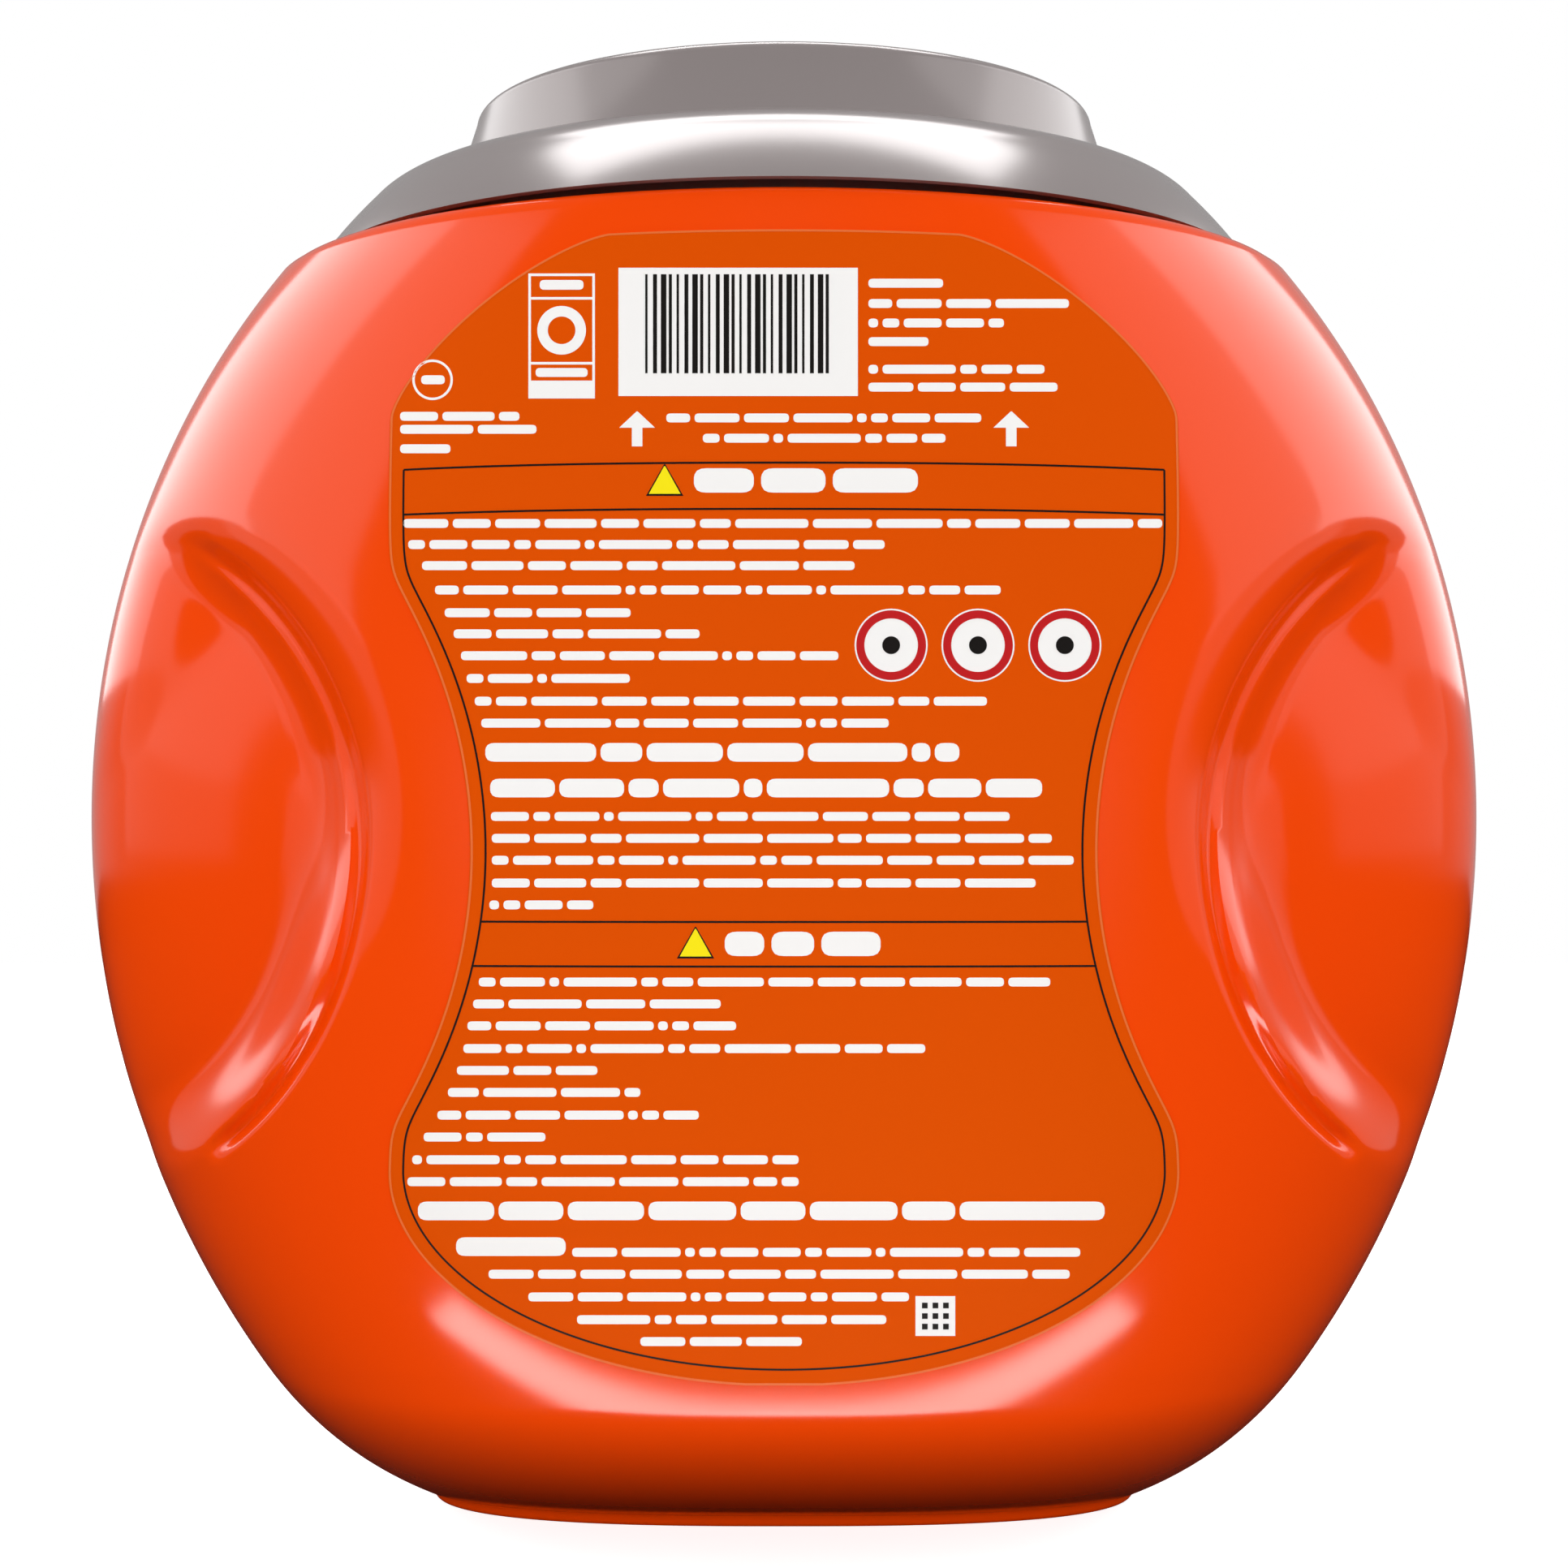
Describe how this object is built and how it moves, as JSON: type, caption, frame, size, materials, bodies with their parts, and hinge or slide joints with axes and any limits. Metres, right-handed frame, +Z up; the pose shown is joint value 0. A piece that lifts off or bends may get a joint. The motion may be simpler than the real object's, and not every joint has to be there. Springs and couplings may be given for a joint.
{
  "type": "laundry pod tub",
  "caption": "Blow-moulded waisted tub with finger grips on both sides, a back label and a push-and-turn screw lid.",
  "frame": {"origin": "on the ground under the middle of the foot", "axes": "+Z up through the lid, -Y towards the labelled back face, +X to the right of that face"},
  "size_m": [0.256, 0.1813, 0.26],
  "materials": {
    "orange_plastic": "gloss",
    "label_film": "satin",
    "silver_plastic": "pearl satin",
    "inner_plastic": "satin",
    "seal_foam": "matte"
  },
  "bodies": {
    "tub_body": {"tub": "orange_plastic", "back_label": "label_film"},
    "seal_body": {"seal_ring": "seal_foam"},
    "cap_body": {"inner_cap": "inner_plastic"},
    "shell_body": {"lid_shell": "silver_plastic"}
  },
  "joints": [
    {"name": "lid_lift", "type": "slide", "parent": "tub_body", "child": "seal_body", "axis": [0, 0, 1], "range_m": [0, 0.0301]},
    {"name": "lid_turn", "type": "hinge", "parent": "seal_body", "child": "cap_body", "pos_m": [0, 0, 0.2362], "axis": [0, 0, 1], "range_deg": [0, 450]},
    {"name": "lid_push", "type": "slide", "parent": "cap_body", "child": "shell_body", "axis": [0, 0, -1], "range_m": [0, 0.001], "stiffness_N_per_m": 5000, "springref_m": -0.003}
  ],
  "couplings": [
    {"joint": "lid_lift", "follows": "lid_turn", "m_per_rad": 0.0038197}
  ]
}
